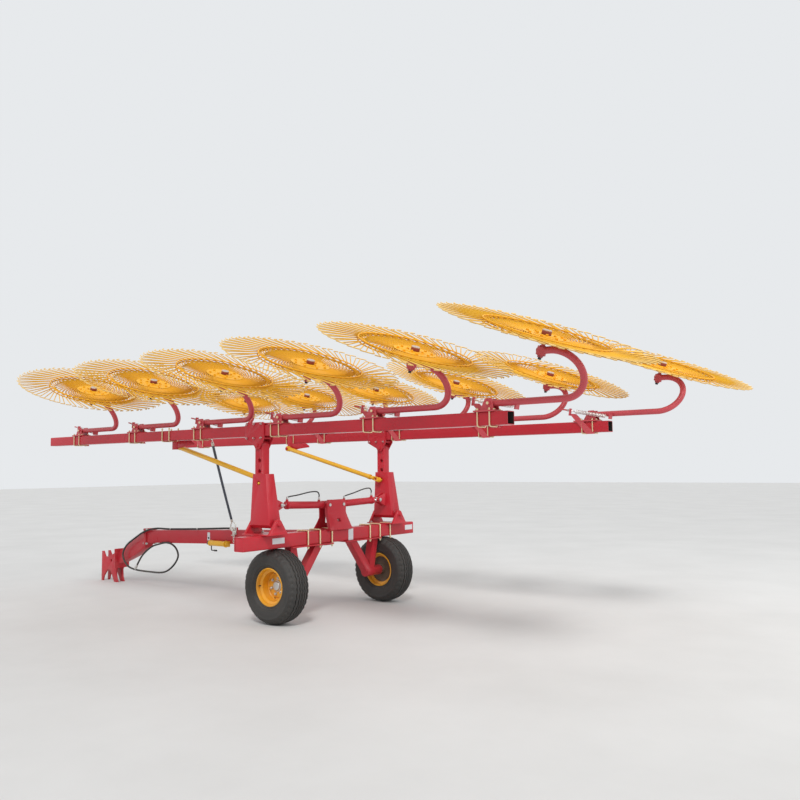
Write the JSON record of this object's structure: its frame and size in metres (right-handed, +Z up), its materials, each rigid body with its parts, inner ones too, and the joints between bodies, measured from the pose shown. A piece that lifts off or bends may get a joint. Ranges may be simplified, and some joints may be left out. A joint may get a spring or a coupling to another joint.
{
  "type": "rotary hay rake",
  "caption": "Towed rotary hay rake folded for the road: a two-wheeled cart with a drawbar, tilting masts, long rake beams and tined wheels on curved arms",
  "frame": {"origin": "on the ground, between the tyres, below the middle of the machine's length", "axes": "+X the way it is towed, +Y to its left, +Z up"},
  "size_m": [7.6972, 3.7195, 2.6011],
  "materials": {
    "red_paint": "gloss",
    "yellow_paint": "gloss",
    "tine_yellow": "satin",
    "tyre_rubber": "matt",
    "hose_rubber": "satin",
    "bright_steel": "polished",
    "spring_steel": "satin"
  },
  "bodies": {
    "cart": {"axle_beam": "red_paint", "drawbar": "red_paint", "drawbar_nose": "red_paint", "hitch": "red_paint", "centre_bracket": "red_paint", "mast_seat_left": "red_paint", "mast_seat_right": "red_paint", "wheel_leg_left": "red_paint", "wheel_leg_right": "red_paint", "parking_jack": "yellow_paint", "hose": "hose_rubber", "hose_coupling": "bright_steel"},
    "wheel_left": {"tyre_left": "tyre_rubber", "rim_left": "yellow_paint"},
    "mast_left": {"mast_left": "red_paint"},
    "beam_left": {"beam_left": "red_paint", "beam_clamp_left": "red_paint", "arms_left": "red_paint", "springs_left": "spring_steel"},
    "tilt_barrel_left": {"tilt_barrel_left": "red_paint"},
    "tilt_rod_left": {"tilt_rod_left": "bright_steel"},
    "strut_tube_left": {"strut_tube_left": "yellow_paint"},
    "strut_rod_left": {"strut_rod_left": "yellow_paint"},
    "rake_wheel_left_1": {"rake_wheel_left_1": "tine_yellow"},
    "rake_wheel_left_2": {"rake_wheel_left_2": "tine_yellow"},
    "rake_wheel_left_3": {"rake_wheel_left_3": "tine_yellow"},
    "rake_wheel_left_4": {"rake_wheel_left_4": "tine_yellow"},
    "rake_wheel_left_5": {"rake_wheel_left_5": "tine_yellow"},
    "rake_wheel_left_6": {"rake_wheel_left_6": "tine_yellow"},
    "wheel_right": {"tyre_right": "tyre_rubber", "rim_right": "yellow_paint"},
    "mast_right": {"mast_right": "red_paint"},
    "beam_right": {"beam_right": "red_paint", "beam_clamp_right": "red_paint", "arms_right": "red_paint", "springs_right": "spring_steel"},
    "tilt_barrel_right": {"tilt_barrel_right": "red_paint"},
    "tilt_rod_right": {"tilt_rod_right": "bright_steel"},
    "strut_tube_right": {"strut_tube_right": "yellow_paint"},
    "strut_rod_right": {"strut_rod_right": "yellow_paint"},
    "rake_wheel_right_1": {"rake_wheel_right_1": "tine_yellow"},
    "rake_wheel_right_2": {"rake_wheel_right_2": "tine_yellow"},
    "rake_wheel_right_3": {"rake_wheel_right_3": "tine_yellow"},
    "rake_wheel_right_4": {"rake_wheel_right_4": "tine_yellow"},
    "rake_wheel_right_5": {"rake_wheel_right_5": "tine_yellow"},
    "rake_wheel_right_6": {"rake_wheel_right_6": "tine_yellow"}
  },
  "joints": [
    {"name": "wheel_left_spin", "type": "hinge", "parent": "cart", "child": "wheel_left", "pos_m": [-0.173, 0.774, 0.337], "axis": [0, 1, 0], "continuous": true},
    {"name": "mast_left_tilt", "type": "hinge", "parent": "cart", "child": "mast_left", "pos_m": [-0.143, 0.879, 0.904], "axis": [-1, 0, 0], "range_deg": [0, 85]},
    {"name": "beam_left_angle", "type": "hinge", "parent": "mast_left", "child": "beam_left", "pos_m": [-0.093, 0.879, 1.62], "axis": [0, -1, 0], "range_deg": [0, 30]},
    {"name": "tilt_barrel_left_pivot", "type": "hinge", "parent": "cart", "child": "tilt_barrel_left", "pos_m": [-0.143, 0.1, 1.045], "axis": [1, 0, 0], "range_deg": [-1, 4]},
    {"name": "tilt_rod_left_slide", "type": "slide", "parent": "tilt_barrel_left", "child": "tilt_rod_left", "axis": [0, 0.9994, 0.0341], "range_m": [0, 0.32]},
    {"name": "strut_tube_left_pivot", "type": "hinge", "parent": "beam_left", "child": "strut_tube_left", "pos_m": [1.291, 0.787, 1.642], "axis": [0, -1, 0], "range_deg": [-4, 1]},
    {"name": "strut_rod_left_slide", "type": "slide", "parent": "strut_tube_left", "child": "strut_rod_left", "axis": [-0.967, 0, -0.2549], "range_m": [0, 0.17]},
    {"name": "rake_wheel_left_1_spin", "type": "hinge", "parent": "beam_left", "child": "rake_wheel_left_1", "pos_m": [2.37043, 1.10623, 2.30176], "axis": [-0.3746, 0.0889, 0.9229], "continuous": true},
    {"name": "rake_wheel_left_2_spin", "type": "hinge", "parent": "beam_left", "child": "rake_wheel_left_2", "pos_m": [1.26843, 1.10623, 2.30176], "axis": [-0.3746, 0.0889, 0.9229], "continuous": true},
    {"name": "rake_wheel_left_3_spin", "type": "hinge", "parent": "beam_left", "child": "rake_wheel_left_3", "pos_m": [0.16643, 1.10623, 2.30176], "axis": [-0.3746, 0.0889, 0.9229], "continuous": true},
    {"name": "rake_wheel_left_4_spin", "type": "hinge", "parent": "beam_left", "child": "rake_wheel_left_4", "pos_m": [-0.93557, 1.10623, 2.30176], "axis": [-0.3746, 0.0889, 0.9229], "continuous": true},
    {"name": "rake_wheel_left_5_spin", "type": "hinge", "parent": "beam_left", "child": "rake_wheel_left_5", "pos_m": [-2.03757, 1.10623, 2.30176], "axis": [-0.3746, 0.0889, 0.9229], "continuous": true},
    {"name": "rake_wheel_left_6_spin", "type": "hinge", "parent": "beam_left", "child": "rake_wheel_left_6", "pos_m": [-3.13957, 1.10623, 2.30176], "axis": [-0.3746, 0.0889, 0.9229], "continuous": true},
    {"name": "wheel_right_spin", "type": "hinge", "parent": "cart", "child": "wheel_right", "pos_m": [-0.173, -0.774, 0.337], "axis": [0, 1, 0], "continuous": true},
    {"name": "mast_right_tilt", "type": "hinge", "parent": "cart", "child": "mast_right", "pos_m": [-0.143, -0.879, 0.904], "axis": [1, 0, 0], "range_deg": [0, 85]},
    {"name": "beam_right_angle", "type": "hinge", "parent": "mast_right", "child": "beam_right", "pos_m": [-0.093, -0.879, 1.62], "axis": [0, -1, 0], "range_deg": [0, 30]},
    {"name": "tilt_barrel_right_pivot", "type": "hinge", "parent": "cart", "child": "tilt_barrel_right", "pos_m": [-0.143, -0.1, 1.045], "axis": [-1, 0, 0], "range_deg": [-1, 4]},
    {"name": "tilt_rod_right_slide", "type": "slide", "parent": "tilt_barrel_right", "child": "tilt_rod_right", "axis": [0, -0.9994, 0.0341], "range_m": [0, 0.32]},
    {"name": "strut_tube_right_pivot", "type": "hinge", "parent": "beam_right", "child": "strut_tube_right", "pos_m": [1.291, -0.787, 1.642], "axis": [0, -1, 0], "range_deg": [-4, 1]},
    {"name": "strut_rod_right_slide", "type": "slide", "parent": "strut_tube_right", "child": "strut_rod_right", "axis": [-0.967, 0, -0.2549], "range_m": [0, 0.17]},
    {"name": "rake_wheel_right_1_spin", "type": "hinge", "parent": "beam_right", "child": "rake_wheel_right_1", "pos_m": [2.37043, -1.08224, 2.30176], "axis": [-0.3746, 0.0889, 0.9229], "continuous": true},
    {"name": "rake_wheel_right_2_spin", "type": "hinge", "parent": "beam_right", "child": "rake_wheel_right_2", "pos_m": [1.26843, -1.08224, 2.30176], "axis": [-0.3746, 0.0889, 0.9229], "continuous": true},
    {"name": "rake_wheel_right_3_spin", "type": "hinge", "parent": "beam_right", "child": "rake_wheel_right_3", "pos_m": [0.16643, -1.08224, 2.30176], "axis": [-0.3746, 0.0889, 0.9229], "continuous": true},
    {"name": "rake_wheel_right_4_spin", "type": "hinge", "parent": "beam_right", "child": "rake_wheel_right_4", "pos_m": [-0.93557, -1.08224, 2.30176], "axis": [-0.3746, 0.0889, 0.9229], "continuous": true},
    {"name": "rake_wheel_right_5_spin", "type": "hinge", "parent": "beam_right", "child": "rake_wheel_right_5", "pos_m": [-2.03757, -1.08224, 2.30176], "axis": [-0.3746, 0.0889, 0.9229], "continuous": true},
    {"name": "rake_wheel_right_6_spin", "type": "hinge", "parent": "beam_right", "child": "rake_wheel_right_6", "pos_m": [-3.13957, -1.08224, 2.30176], "axis": [-0.3746, 0.0889, 0.9229], "continuous": true}
  ],
  "couplings": [
    {"joint": "tilt_barrel_left_pivot", "follows": "mast_left_tilt", "ratio": 0.0358},
    {"joint": "tilt_rod_left_slide", "follows": "mast_left_tilt", "m_per_rad": 0.20824},
    {"joint": "strut_tube_left_pivot", "follows": "beam_left_angle", "ratio": -0.10616},
    {"joint": "strut_rod_left_slide", "follows": "beam_left_angle", "m_per_rad": 0.30329},
    {"joint": "tilt_barrel_right_pivot", "follows": "mast_right_tilt", "ratio": 0.0358},
    {"joint": "tilt_rod_right_slide", "follows": "mast_right_tilt", "m_per_rad": 0.20824},
    {"joint": "strut_tube_right_pivot", "follows": "beam_right_angle", "ratio": -0.10616},
    {"joint": "strut_rod_right_slide", "follows": "beam_right_angle", "m_per_rad": 0.30329}
  ]
}
